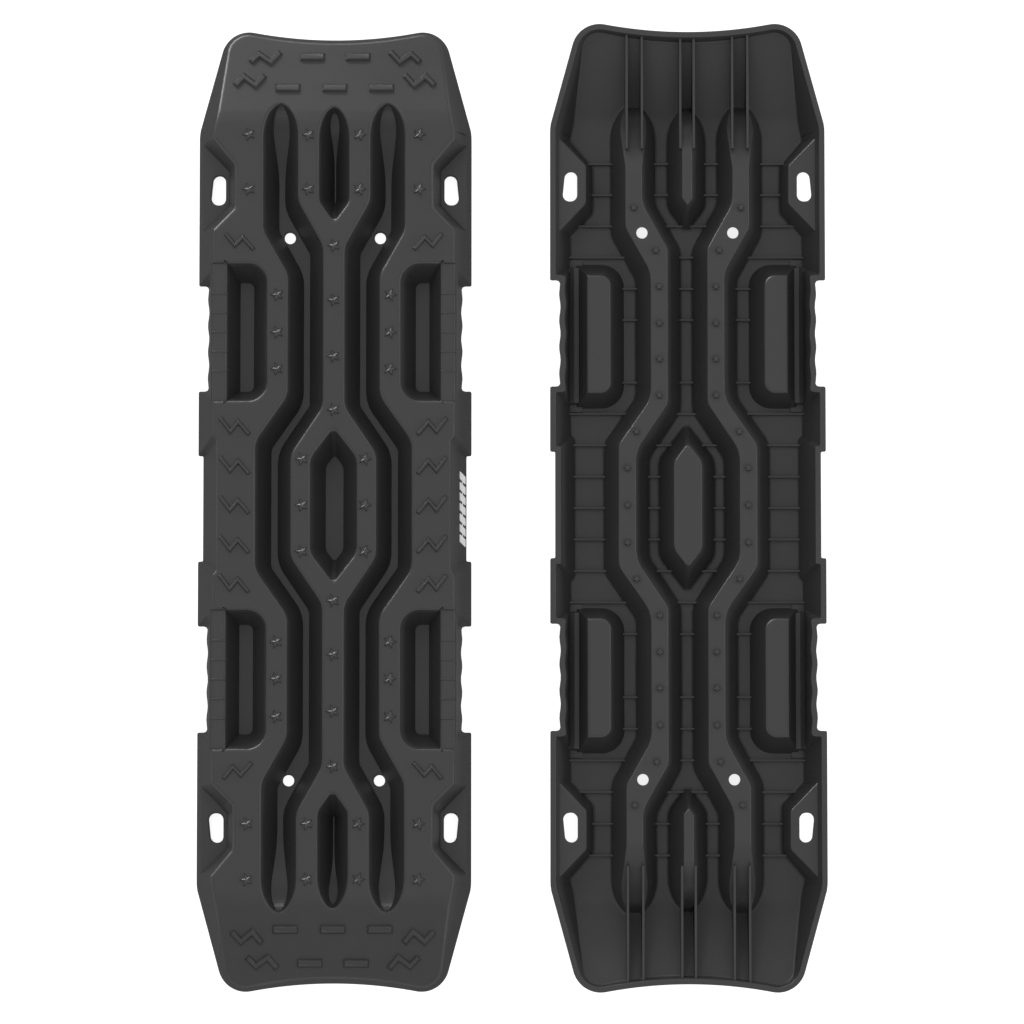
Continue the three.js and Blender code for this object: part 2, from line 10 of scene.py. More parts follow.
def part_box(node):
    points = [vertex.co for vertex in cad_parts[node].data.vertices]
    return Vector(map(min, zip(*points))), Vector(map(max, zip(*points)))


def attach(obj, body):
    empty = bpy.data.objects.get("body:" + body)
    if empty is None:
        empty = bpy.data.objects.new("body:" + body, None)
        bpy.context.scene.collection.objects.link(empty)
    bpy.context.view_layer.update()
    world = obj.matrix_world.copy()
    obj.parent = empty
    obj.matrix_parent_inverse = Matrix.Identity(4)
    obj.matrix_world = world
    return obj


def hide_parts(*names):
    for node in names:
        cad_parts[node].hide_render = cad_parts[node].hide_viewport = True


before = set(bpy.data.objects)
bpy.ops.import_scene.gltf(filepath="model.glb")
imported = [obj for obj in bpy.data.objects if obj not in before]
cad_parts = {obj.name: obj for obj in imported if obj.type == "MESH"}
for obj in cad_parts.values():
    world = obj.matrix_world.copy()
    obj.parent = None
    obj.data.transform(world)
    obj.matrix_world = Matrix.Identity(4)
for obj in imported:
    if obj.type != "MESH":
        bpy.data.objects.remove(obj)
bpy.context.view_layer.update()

# ---- driving dimensions, in millimetres, in a board's own frame ----------
# The rim lies on z = 0, the deck is at the top, and y runs along the board.

MM = 0.001
DECK_Z = 55.0
DECK_THICK = 4.6
UNDER_Z = DECK_Z - DECK_THICK
RELIEF = 3.0
RAMP_RELIEF = 4.0
WALL = 6.2  # skirt, measured level

RIM_HALF = 151.4
WAIST_HALF = 145.9
GRIP_RIM_HALF = 140.5
DECK_HALF = 132.3
WAIST_DECK_HALF = 127.9
GRIP_DECK_HALF = 133.8
WAIST_END = 58.4
GRIP_START = 130.4
GRIP_END = 247.4
TAPER_START = 418.6
CORNER = (96.5, 501.5, 31.0)
TAPER_ANGLE = 15.1
TIP_DIP_Y = 523.5
SKIRT_LEAN = 0.352

RAMP_START = 430.0
RAMP_SLOPE = 0.424
RAMP_EASE = 8.0
FIRM_Z = 4.0  # below this height nothing sinks with the ramps

DRAFT = 0.352
FILLET = 4.2
FLOOR_Z = 8.0
KEEL_Z = 4.0
TROUGH_WALL = 7.1
KEEL_ROUND = 2.2
ROOT_ROUND = 3.0

CHANNEL_MID_X = 58.925
CHANNEL_HALF = 19.675
CHANNEL_STRAIGHT_END = 408.0
CHANNEL_BEND = 28.0
END_LENGTH = 37.5
SLOT_HALF = 17.2
SLOT_STRAIGHT_END = 405.0
SLOT_LENGTH = 36.5
SLOT_SHOULDER_Y = 335.5
SLOT_TIP_Y = 311.5
POCKET_HALF = 26.3
POCKET_SHOULDER_Y = 52.0
POCKET_TIP_Y = 86.5

HAND_X = (72.8, 118.2)
HAND_Y = (114.6, 267.4)
HAND_FLOOR_Z = 11.0
HAND_ROUND = 25.0
HAND_LEAN = (0.38, 0.31, 0.33, 0.40)
HAND_WALLS = (5.7, 6.3, 5.8, 5.5)
GRIP_DROP = 4.0
GRIP_THICK = 13.0
GRIP_BAR_XS = (115.2, 124.2, 129.4, 136.0)
RIDGE_PITCH = 21.4
GRIP_MID_Y = 191.0

NOTCH_FLOOR_Z = 16.0
NOTCH_WALL = 5.6
PIN = (50.0, 300.6, 6.15)

RIB_PITCH = 34.8
RIB_THICK = 2.8
RIB_DEPTH = 4.8
END_RIB_XS = (7.4, 49.8, 66.6)
END_RIB_START = 394.0
STUD_YS = (0, 41, 81, 121, 161, 200.5, 241, 281, 328.5)

PRINT_LENGTH = 86.0
PRINT_HEIGHT = 19.0  # measured up the skirt
PRINT_FOOT = 6.0  # from the rim up to its lower edge
PRINT_BARS = 7
PRINT_SLANT = 5.0
PRINT_SPACE = 3.0  # between two bars
PRINT_THICK = 0.6
PRINT_LIFT = 0.2  # off the skirt

# ---- finishes and camera -------------------------------------------------

SHARP_ANGLE = math.radians(32)

PLASTIC_COLOUR = (0.040, 0.040, 0.0405)
# lighter tone of the rounds: partly scuffs, partly a painted highlight on the fillets
PLASTIC_SCUFF_AND_SHEEN = (0.075, 0.075, 0.076)
PLASTIC_ROUGHNESS = 0.41
INK_COLOUR = (0.9, 0.9, 0.88)
# lighter tone of the print's rounds: partly scuffs, partly a painted highlight
INK_SCUFF_AND_SHEEN = (0.6, 0.6, 0.59)
INK_ROUGHNESS = 0.5

CAMERA_DISTANCE = 5.86
CAMERA_ELEVATION = math.radians(85.7)
CAMERA_AIM = (0.0015, -0.0034, 0)
CAMERA_LENS = 186.2
FLOOR_SIZE = 90

# ---- flat outlines, anticlockwise ----------------------------------------


def unit(v):
    return v / np.maximum(np.linalg.norm(v, axis=-1, keepdims=True), 1e-9)


def normals(outline):
    """Outward mitre direction at each corner, long enough to move both edges by one."""
    before = unit(outline - np.roll(outline, 1, axis=0))
    after = unit(np.roll(outline, -1, axis=0) - outline)
    n0 = np.stack([before[:, 1], -before[:, 0]], axis=1)
    n1 = np.stack([after[:, 1], -after[:, 0]], axis=1)
    scale = 1 + (n0 * n1).sum(axis=1, keepdims=True)
    return (n0 + n1) / np.maximum(scale, 0.2)


def inset(outline, distance):
    return outline - normals(outline) * distance


def rounded(corners, radii, steps=6):
    """Rounds every corner of an outline; a radius that doesn't fit is made smaller."""
    corners = np.asarray(corners, float)
    count = len(corners)
    points = []
    for i, (corner, radius) in enumerate(zip(corners, radii)):
        to_last = corners[i - 1] - corner
        to_next = corners[(i + 1) % count] - corner
        room = 0.49 * min(np.linalg.norm(to_last), np.linalg.norm(to_next))
        a, b = unit(to_last), unit(to_next)
        half = math.acos(max(-1.0, min(1.0, float(a @ b)))) / 2
        tangent = min(radius / math.tan(half), room)
        radius = tangent * math.tan(half)
        centre = corner + unit(a + b) * (radius / math.sin(half))
        start = corner + a * tangent - centre
        turn = math.pi - 2 * half
        if a[0] * b[1] - a[1] * b[0] > 0:
            turn = -turn
        for k in range(steps + 1):
            angle = turn * k / steps
            c, s = math.cos(angle), math.sin(angle)
            points.append(centre + [start[0] * c - start[1] * s, start[0] * s + start[1] * c])
    return np.array(points)


def mirror_x(points):
    return (np.asarray(points) * [-1, 1])[::-1]


def mirror_y(points):
    return (np.asarray(points) * [1, -1])[::-1]


def pointed_arch(x, y, half, length, steps=20):
    angles = np.linspace(0, math.pi, steps + 1)
    reach = np.sign(np.cos(angles)) * np.abs(np.cos(angles)) ** 1.2
    return np.stack([x + half * reach, y + length * np.sin(angles)], axis=1)


# ---- solids: (vertices, faces) pairs -------------------------------------


def skin(rings):
    """Closed skin over a stack of rings with the same point count."""
    rings = [np.asarray(ring, float) for ring in rings]
    count = len(rings[0])
    vertices = np.concatenate(rings)
    faces = [tuple(range(count))[::-1]]
    for level in range(len(rings) - 1):
        base = level * count
        for i in range(count):
            j = (i + 1) % count
            faces.append((base + i, base + j, base + j + count, base + i + count))
    faces.append(tuple(range((len(rings) - 1) * count, len(rings) * count)))
    return vertices, faces


def ring(outline, z):
    height = np.broadcast_to(np.asarray(z, float), (len(outline),))
    return np.column_stack([outline, height])


def loft(levels):
    """Levels are (outline, z) pairs from the lowest to the highest."""
    return skin([ring(outline, z) for outline, z in levels])


def mirrored(body, sx, sy):
    vertices, faces = body
    if sx * sy < 0:
        faces = [face[::-1] for face in faces]
    return vertices * [sx, sy, 1], faces


def join(bodies):
    vertices, faces, base = [], [], 0
    for points, polygons in bodies:
        vertices.append(points)
        faces += [tuple(base + i for i in polygon) for polygon in polygons]
        base += len(points)
    return np.concatenate(vertices), faces


SIGNS = ((1, 1), (-1, 1), (-1, -1), (1, -1))


def to_quarters(body):
    return join([mirrored(body, sx, sy) for sx, sy in SIGNS])


def to_sides(body):
    return join([body, mirrored(body, -1, 1)])


def to_ends(body):
    return join([body, mirrored(body, 1, -1)])


def block(x0, x1, y0, y1, z0, z1, taper=0.0):
    """A box whose sides lean in by the taper at its low face."""
    high = np.array([(x0, y0), (x1, y0), (x1, y1), (x0, y1)], float)
    return loft([(inset(high, taper), z0), (high, z1)])


def across_x(profile, x0, x1):
    """Extrudes an anticlockwise (y, z) profile along x."""
    profile = np.asarray(profile, float)
    low = np.column_stack([np.full(len(profile), x0), profile])
    high = np.column_stack([np.full(len(profile), x1), profile])
    return skin([low, high])


# ---- booleans ------------------------------------------------------------


def mesh_of(body, name="part"):
    vertices, faces = body
    mesh = bpy.data.meshes.new(name)
    mesh.from_pydata([tuple(v) for v in vertices], [], faces)
    shape = bmesh.new()
    shape.from_mesh(mesh)
    bmesh.ops.triangulate(shape, faces=[face for face in shape.faces if len(face.verts) > 4])
    shape.to_mesh(mesh)
    shape.free()
    return mesh


def slice_mesh(mesh, planes):
    """Adds edges where the (place, direction) planes cross the faces."""
    shape = bmesh.new()
    shape.from_mesh(mesh)
    bmesh.ops.triangulate(shape, faces=shape.faces[:])
    for place, direction in planes:
        bmesh.ops.bisect_plane(
            shape, geom=shape.verts[:] + shape.edges[:] + shape.faces[:],
            dist=1e-4, plane_co=place, plane_no=direction,
        )
    bmesh.ops.triangulate(shape, faces=shape.faces[:])
    shape.to_mesh(mesh)
    shape.free()
    return mesh


def planes_at(places, direction):
    """Cutting planes square to the direction, at each place and its mirror image."""
    direction = np.array(direction, float)
    return [(direction * place * sign, direction) for place in places for sign in (-1, 1)]


def combine(base, tool, operation):
    """Joins or cuts two closed meshes and gives a new mesh."""
    tool = tool if isinstance(tool, bpy.types.Mesh) else mesh_of(tool)
    first = bpy.data.objects.new("base", base)
    second = bpy.data.objects.new("tool", tool)
    for piece in (first, second):
        bpy.context.scene.collection.objects.link(piece)
    modifier = first.modifiers.new("cut", "BOOLEAN")
    modifier.operation = operation
    modifier.solver = "MANIFOLD"
    modifier.object = second
    graph = bpy.context.evaluated_depsgraph_get()
    result = bpy.data.meshes.new_from_object(first.evaluated_get(graph))
    for piece in (first, second):
        bpy.data.objects.remove(piece)
    if len(result.polygons) == 0:
        raise RuntimeError("a cut left nothing")
    return result


def add(base, tool):
    return combine(base, tool, "UNION")


def cut(base, tool):
    return combine(base, tool, "DIFFERENCE")


def common(base, tool):
    return combine(base, tool, "INTERSECT")


# ---- heights -------------------------------------------------------------


def ramp_drop(y):
    """How far the deck has sunk at a distance along the board, with an eased bend."""
    past = np.abs(y) - RAMP_START
    eased = (past + RAMP_EASE) ** 2 / (4 * RAMP_EASE)
    return RAMP_SLOPE * np.where(past > RAMP_EASE, past, np.where(past < -RAMP_EASE, 0, eased))


def sink_share(z):
    return np.clip((z - FIRM_Z) / (UNDER_Z - FIRM_Z), 0, 1)


def sunk(y, z):
    return z - ramp_drop(y) * sink_share(z)


def edge_arc(radius, draft, steps=5):
    """(outward shift, depth) pairs of a round between a level face and a drafted wall."""
    turn = math.pi / 2 - math.atan(draft)
    reach = radius * math.tan(turn / 2)
    angles = np.linspace(0, turn, steps + 1)
    return [(reach - radius * math.sin(a), radius * (1 - math.cos(a))) for a in angles]


# ---- troughs -------------------------------------------------------------


def hollow_levels(outline_at, floor_z, draft=DRAFT, radius=FILLET, drop=None):
    """Cutter of a trough: round at the deck edge, straight leaning walls and a crisp floor."""
    arc = edge_arc(radius, draft)
    levels = [(outline_at((DECK_Z - floor_z) * draft), floor_z)]
    for shift, depth in reversed(arc):
        outline = outline_at(-shift)
        lower = 0 if drop is None else drop(outline)
        levels.append((outline, DECK_Z - depth - lower))
    levels.append((outline_at(-arc[0][0]), DECK_Z + 25))
    return levels


def wall_levels(outline_at, keel_z, wall, draft=DRAFT):
    """Solid skin of a trough: rounded keel edges and a round root under the deck."""
    levels = []
    for shift, depth in edge_arc(KEEL_ROUND, draft, 3):
        level = (DECK_Z - keel_z) * draft - wall
        levels.append((outline_at(level + shift), keel_z + depth))
    for shift, depth in reversed(edge_arc(ROOT_ROUND, draft, 3)):
        level = DECK_THICK * draft - wall
        levels.append((outline_at(level - shift), UNDER_Z - depth))
    last = levels[-1][0]
    levels.append((last, DECK_Z - 1.5))
    return levels


def bent(corners, radius, distance, steps=6):
    """Insets sharp corners and rounds them, so that walls stay an even distance apart."""
    corners = inset(np.asarray(corners, float), distance)
    before = corners - np.roll(corners, 1, axis=0)
    after = np.roll(corners, -1, axis=0) - corners
    turning = before[:, 0] * after[:, 1] - before[:, 1] * after[:, 0]
    radii = [max(0.6, radius - distance * np.sign(t)) for t in turning]
    return rounded(corners, radii, steps)


CHANNEL_RIGHT = [(86.5, 70.3), (51, 121), (51, 254.7), (78.6, 303.8)]
CHANNEL_LEFT = [(39.25, 336.3), (11.3, 286.3), (11.3, 108.7), (46.4, 56.7)]


def channel_outline(distance):
    far = [(CHANNEL_MID_X + CHANNEL_HALF, 600), (CHANNEL_MID_X - CHANNEL_HALF, 600)]
    upper = CHANNEL_RIGHT + far + CHANNEL_LEFT
    whole = np.concatenate([upper, mirror_y(upper)])
    steps = 6
    points = bent(whole, CHANNEL_BEND, distance, steps)
    side = len(CHANNEL_RIGHT) * (steps + 1)
    right = points[:side]
    left = points[side + 2 * (steps + 1):2 * side + 2 * (steps + 1)]
    end = pointed_arch(
        CHANNEL_MID_X, CHANNEL_STRAIGHT_END, CHANNEL_HALF - distance, END_LENGTH - distance * 0.9
    )
    half = np.concatenate([right, end, left])
    return np.concatenate([half, mirror_y(half)])


def slot_outline(distance):
    corners = [
        (0, SLOT_TIP_Y), (SLOT_HALF, SLOT_SHOULDER_Y), (SLOT_HALF, 600),
        (-SLOT_HALF, 600), (-SLOT_HALF, SLOT_SHOULDER_Y),
    ]
    moved = inset(np.array(corners, float), distance)
    radii = [max(0.4, 5 - 0.3 * distance), max(1, 16 - distance), 1, 1, max(1, 16 - distance)]
    steps = 6
    points = rounded(moved, radii, steps)
    span = steps + 1
    end = pointed_arch(0, SLOT_STRAIGHT_END, SLOT_HALF - distance, SLOT_LENGTH - distance * 0.9)
    return np.concatenate([points[:2 * span], end, points[4 * span:]])


def pocket_outline(distance):
    corners = np.array([
        (POCKET_HALF, POCKET_SHOULDER_Y), (0, POCKET_TIP_Y), (-POCKET_HALF, POCKET_SHOULDER_Y),
        (-POCKET_HALF, -POCKET_SHOULDER_Y), (0, -POCKET_TIP_Y), (POCKET_HALF, -POCKET_SHOULDER_Y),
    ], float)
    moved = inset(corners, distance)
    radii = [max(2, 22 - 0.5 * distance), max(1.5, 5 - 0.1 * distance), max(2, 22 - 0.5 * distance)] * 2
    return rounded(moved, radii, 8)


def hand_rectangle(depth, grow=0.0, walls=(0, 0, 0, 0)):
    """Corners of a hand pocket at a depth under the deck."""
    x0 = HAND_X[0] + HAND_LEAN[0] * depth - walls[0] - grow
    x1 = HAND_X[1] - HAND_LEAN[1] * depth + walls[1] + grow
    y0 = HAND_Y[0] + HAND_LEAN[2] * depth - walls[2] - grow
    y1 = HAND_Y[1] - HAND_LEAN[3] * depth + walls[3] + grow
    return x0, x1, y0, y1


def hand_outline(depth, grow=0.0, walls=(0, 0, 0, 0), outer_round=0.8):
    x0, x1, y0, y1 = hand_rectangle(depth, grow, walls)
    big = HAND_ROUND - 0.25 * depth + grow + (4 if walls[0] else 0)
    corners = [(x0, y0), (x1 - 2, y0), (x1, y0), (x1, y1), (x1 - 2, y1), (x0, y1)]
    return rounded(corners, [big, 0.1, outer_round, outer_round, 0.1, big], 8)


def hand_hollow():
    arc = edge_arc(FILLET, 0.38)
    levels = [(hand_outline(DECK_Z - HAND_FLOOR_Z), HAND_FLOOR_Z)]
    for shift, depth in reversed(arc):
        outline = hand_outline(0, shift)
        lower = np.where(outline[:, 0] > outline[:, 0].max() - 1.2, GRIP_DROP, 0)
        levels.append((outline, DECK_Z - depth - lower))
    levels.append((hand_outline(0, arc[0][0]), DECK_Z + 25))
    return loft(levels)


def hand_skin():
    keel = HAND_FLOOR_Z - 4
    levels = []
    for shift, depth in edge_arc(4.0, 0.38, 4):
        levels.append((hand_outline(DECK_Z - keel, -shift, HAND_WALLS), keel + depth))
    for shift, depth in reversed(edge_arc(ROOT_ROUND, 0.38, 3)):
        levels.append((hand_outline(DECK_THICK, shift, HAND_WALLS), UNDER_Z - depth))
    levels.append((levels[-1][0], DECK_Z - GRIP_DROP - 1.5))
    return loft(levels)


def scoop(line, x0, x1, lower=0.0):
    """Material under the curve that a trough floor sweeps up along."""
    ys = np.linspace(line[0][0], line[-1][0], 28)
    zs = np.interp(ys, *zip(*line))
    for _ in range(2):
        zs[1:-1] = (zs[:-2] + 2 * zs[1:-1] + zs[2:]) / 4
    profile = [(line[0][0] - 40, -30), (line[-1][0] + 60, -30), (line[-1][0] + 60, zs[-1] + 20 - lower)]
    profile += [(y, z - lower) for y, z in list(zip(ys, zs))[::-1]]
    profile += [(line[0][0] - 1, zs[0] - lower - 0.02), (line[0][0] - 40, zs[0] - lower - 0.6)]
    return across_x(profile, x0, x1)


CHANNEL_SCOOP = [
    (354, 8), (365, 8.6), (375, 10.3), (388.5, 15.2), (400, 19.6), (410, 23.2),
    (420, 27.2), (428, 31.5), (434, 36), (438.5, 40.6), (442, 45.5), (444.5, 51), (445.5, 54.5),
]
SLOT_SCOOP = [
    (370, 8), (383, 8.4), (393, 10), (403, 13.6), (414, 19.2),
    (424, 26), (432, 33), (438, 40), (441.5, 46), (444, 53),
]


def scoops(lower=0.0):
    side = scoop(CHANNEL_SCOOP, 27, 91, lower)
    middle = scoop(SLOT_SCOOP, -26, 26, lower)
    return to_ends(join([side, mirrored(side, -1, 1), middle]))


# ---- notches, straps and pins --------------------------------------------

NOTCH_TOP = [(108.8, 328.5), (170, 267.3), (170, 449), (108.8, 377)]
NOTCH_LOW = [(117.4, 336.6), (170, 281.6), (170, 427.8), (117.4, 374)]


def notch_outline(t, out=0.0):
    """Notch outline at a share of its depth, moved outwards."""
    corners = np.array(NOTCH_TOP) * (1 - t) + np.array(NOTCH_LOW) * t
    moved = inset(corners, -out)
    return rounded(moved, [8 - 4 * t + out * 0.5, 0.5, 0.5, 8 - 4 * t + out * 0.5], 6)


def notch_hollow():
    levels = [(notch_outline(1), NOTCH_FLOOR_Z)]
    for shift, depth in reversed(edge_arc(6.0, 0.3, 6)):
        levels.append((notch_outline(0, shift), DECK_Z - depth))
    levels.append((levels[-1][0], DECK_Z + 25))
    return loft(levels)


def notch_skin():
    levels = []
    low_z = NOTCH_FLOOR_Z - 4
    for shift, depth in edge_arc(2.0, 0.3, 3):
        levels.append((notch_outline(1, NOTCH_WALL - shift), low_z + depth))
    for shift, depth in reversed(edge_arc(4.0, 0.3, 3)):
        levels.append((notch_outline(0.12, NOTCH_WALL + 0.8 + shift), UNDER_Z - depth))
    levels.append((levels[-1][0], DECK_Z - 1.5))
    return loft(levels)


def strap_outline(grow):
    corners = np.array([(121.2, 336.6), (137.6, 336.6), (134.4, 368.8), (121.2, 368.8)], float)
    return rounded(inset(corners, -grow), [7.2 + grow] * 4, 8)


def strap_slot():
    low = NOTCH_FLOOR_Z - 4
    top = NOTCH_FLOOR_Z
    return loft([
        (strap_outline(0.6), low - 3), (strap_outline(0.6), low), (strap_outline(0), low + 0.4),
        (strap_outline(1.5), top), (strap_outline(1.5), top + 4),
    ])


def circle(x, y, radius, steps=40):
    angles = np.linspace(0, 2 * math.pi, steps, endpoint=False)
    return np.stack([x + radius * np.cos(angles), y + radius * np.sin(angles)], axis=1)


def pin_cut():
    x, y, radius = PIN
    steps = [
        (KEEL_Z - 3, 0.6), (KEEL_Z, 0.6), (KEEL_Z + 0.4, 0), (FLOOR_Z, 1.5), (48, 1.5),
    ]
    return loft([(circle(x, y, radius + grow), z) for z, grow in steps])


def pin_boss():
    x, y, radius = PIN
    return loft([(circle(x, y, radius + 5.6), KEEL_Z), (circle(x, y, radius + 7), FLOOR_Z + 16)])


# ---- the outer shape -----------------------------------------------------


def rim_pairs(thick):
    """Points of the sides of one quarter at the rim, each with the deck-edge point above it."""
    rim, waist, grip = RIM_HALF - thick, WAIST_HALF - thick, GRIP_RIM_HALF - thick
    deck, deck_waist, deck_grip = DECK_HALF - thick, WAIST_DECK_HALF - thick, GRIP_DECK_HALF - thick
    end, start, stop = WAIST_END + thick, GRIP_START - thick, GRIP_END + thick
    pairs = [
        ((waist, 0), (deck_waist, 0)),
        ((waist, end - 1.4), (deck_waist, end + 12.2)),
        ((waist + 0.5, end - 0.3), (deck_waist + 0.3, end + 13)),
        ((waist + 1.5, end), (deck_waist + 1, end + 14)),
        ((rim - 1.8, end), (deck - 1, end + 17)),
        ((rim - 0.5, end + 0.5), (deck - 0.3, end + 18)),
        ((rim, end + 1.8), (deck, end + 19)),
        ((rim, 86), (deck, 88)),
        ((rim, 108), (deck, 104)),
        ((rim, start - 1.8), (deck, start - 15.8)),
        ((rim - 0.5, start - 0.5), (deck + 0.1, start - 15.2)),
        ((rim - 1.8, start), (deck + 0.3, start - 14.5)),
        ((grip + 4, start), (deck_grip - 0.5, start - 12)),
        ((grip + 1.1, start + 1), (deck_grip - 0.1, start - 10.8)),
        ((grip, start + 3.6), (deck_grip, start - 8.8)),
        ((grip, stop - 3.6), (deck_grip, stop + 9.2)),
        ((grip + 1.1, stop - 1), (deck_grip - 0.1, stop + 11.2)),
        ((grip + 4, stop), (deck_grip - 0.5, stop + 12.4)),
        ((rim - 1.8, stop), (deck + 0.3, stop + 15)),
        ((rim - 0.5, stop + 0.5), (deck + 0.1, stop + 15.8)),
        ((rim, stop + 1.8), (deck, stop + 16.8)),
        ((rim, 290), (deck, 290)),
        ((rim, 405), (deck, 405)),
    ]
    dense = []
    for first, second in zip(pairs, pairs[1:]):
        first, second = np.array(first, float), np.array(second, float)
        steps = max(1, int(np.linalg.norm(second[0] - first[0]) // 5))
        dense += [first + (second - first) * k / steps for k in range(steps)]
    dense = np.array(dense)
    phase = (dense[:, 0, 1] - start) / (stop - start)
    on_grip = (phase > 0) & (phase < 1) & (dense[:, 0, 0] < grip + 0.5)
    swell = np.minimum(1, 14 * np.minimum(phase, 1 - phase))
    dense[:, 0, 0] += np.where(on_grip, 0.1 - 0.75 * np.cos(phase * 8 * math.pi) * swell, 0)
    return dense[:, 0], dense[:, 1]


def end_points():
    """Rim points from the taper to the hollow of the tip, corner included."""
    cx, cy, radius = CORNER
    angles = np.radians(np.linspace(TAPER_ANGLE, 100, 16))
    arc = np.stack([cx + radius * np.cos(angles), cy + radius * np.sin(angles)], axis=1)
    start = np.array([RIM_HALF - 0.9, TAPER_START + 3])
    taper = [(RIM_HALF, 411), (RIM_HALF - 0.15, TAPER_START - 3), start]
    taper += [start + (arc[0] - start) * t for t in np.linspace(0, 1, 12)[1:-1]]
    share = np.linspace(1, 0, 18)[1:]
    dip = np.stack([arc[-1, 0] * share, TIP_DIP_Y + (arc[-1, 1] - TIP_DIP_Y) * share ** 2], axis=1)
    return np.concatenate([taper, arc, dip])


def full_outline(quarter):
    """A whole outline from a quarter that starts on the +x axis and ends on the +y axis."""
    inner = quarter[1:-1]
    top = np.concatenate([quarter[:1], inner, quarter[-1:], mirror_x(inner), quarter[:1] * [-1, 1]])
    bottom = mirror_y(np.concatenate([inner, quarter[-1:], mirror_x(inner)]))
    return np.concatenate([top, bottom])


def shell_levels(top_z, thick, radius, edge):
    """Rings of the skirt, inset by its thickness, with the rim edge and the top edge rounded."""
    side_rim, side_deck = rim_pairs(thick)
    end = end_points()
    whole = full_outline(np.concatenate([side_rim, end]))
    outward = unit(normals(whole)[len(side_rim):len(side_rim) + len(end)])
    outward[-1] = (0, 1)
    end_run = SKIRT_LEAN * (DECK_Z - ramp_drop(end[:, 1]))
    run = np.where(end[:, 1] < TAPER_START, RIM_HALF - DECK_HALF, end_run)
    end_rim = end - outward * thick
    base = full_outline(np.concatenate([side_rim, end_rim]))
    top = full_outline(np.concatenate([side_deck, end_rim - outward * run[:, None]]))
    out = full_outline(np.concatenate([np.tile([1.0, 0.0], (len(side_rim), 1)), outward]))
    lean = (top - base) / (DECK_Z - ramp_drop(base[:, 1]))[:, None]

    def at(z):
        return base + lean * sunk(base[:, 1], np.full(len(base), z))[:, None]

    side = 1 if thick else -1
    levels = [(base + out * edge * side, 0), (base + out * edge * 0.3 * side, edge * 0.3)]
    if thick:
        levels.insert(0, (levels[0][0], -12))
    levels += [(at(edge), edge), (at(FIRM_Z), FIRM_Z)]
    arc = edge_arc(radius, SKIRT_LEAN)
    for z in np.linspace(FIRM_Z, top_z - arc[-1][1], 5)[1:-1]:
        levels.append((at(z), z))
    for shift, depth in reversed(arc):
        levels.append((at(top_z) - out * shift, top_z - depth))
    return levels


# ---- grips ---------------------------------------------------------------


def grip_section(lift=0.0):
    """(x, z) points across the top of a grip, from the pocket side outwards."""
    top = DECK_Z - GRIP_DROP + lift
    points = [(HAND_X[1] - 2.2, top)]
    arc = edge_arc(3.8, 0.13)
    for shift, depth in arc:
        points.append((GRIP_DECK_HALF - shift, top - depth))
    return points


def along_y(sections):
    """Skins (x, z) sections placed at rising y."""
    rings = []
    for y, section in sections:
        section = np.asarray(section, float)
        rings.append(np.column_stack([section[:, 0], np.full(len(section), y), section[:, 1]])[::-1])
    return skin(rings)


def grip_drop():
    """Cutter that lowers the grips, rounded where it meets the deck at both ends."""
    arc = edge_arc(3.4, 0.1, 5)
    slices = []
    for shift, depth in arc:
        slices.append((HAND_Y[0] - shift, GRIP_DROP - depth))
    for shift, depth in reversed(arc):
        slices.append((HAND_Y[1] + shift, GRIP_DROP - depth))
    slices.insert(len(arc), (HAND_Y[0] + 0.4, 0))
    slices.insert(len(arc) + 1, (HAND_Y[1] - 0.4, 0))
    sections = []
    for y, lift in slices:
        low = grip_section(lift)
        far = low[-1][1]
        sections.append((y, low + [(185, far), (185, DECK_Z + 25), (HAND_X[1] - 2.2, DECK_Z + 25)]))
    return along_y(sections)


def grip_bar():
    """Bar under the lowered deck; its deep part is as long as the hand pocket."""
    top = DECK_Z - 1.5
    low = DECK_Z - GRIP_DROP - GRIP_THICK
    near, edge, slope, far = GRIP_BAR_XS

    def section(low, rise):
        return [
            (near, low), (edge, low), (slope, low + rise), (far, low + rise), (far, top), (near, top),
        ]

    deep, flat = section(low, 5), section(UNDER_Z - 4, 1)
    y0, y1 = HAND_Y
    return along_y([
        (y0 - 8, flat), (y0, flat), (y0 + 1.5, deep), (y1 - 1.5, deep), (y1, flat), (y1 + 8, flat),
    ])


def grip_ridges():
    top = DECK_Z - GRIP_DROP
    inner = [(s[0], s[1]) for s in edge_arc(FILLET, 0.31)]
    across = [(HAND_X[1] - 0.1 + shift, top - depth) for shift, depth in reversed(inner)]
    across += [(GRIP_DECK_HALF - shift, top - depth) for shift, depth in edge_arc(3.8, 0.13)]
    across = np.array(across)
    tangent = unit(np.gradient(across, axis=0))
    normal = np.stack([-tangent[:, 1], tangent[:, 0]], axis=1)
    bodies = []
    for k in range(-2, 3):
        y = GRIP_MID_Y + k * RIDGE_PITCH
        sections = []
        for offset, rise in ((-1.5, -0.4), (-0.5, 0.95), (0.5, 0.95), (1.5, -0.4)):
            upper = across + normal * rise
            lower = (across - normal * 2.2)[::-1]
            sections.append((y + offset, np.concatenate([upper, lower])[::-1]))
        bodies.append(along_y(sections))
    return to_quarters(join(bodies))


# ---- raised relief -------------------------------------------------------


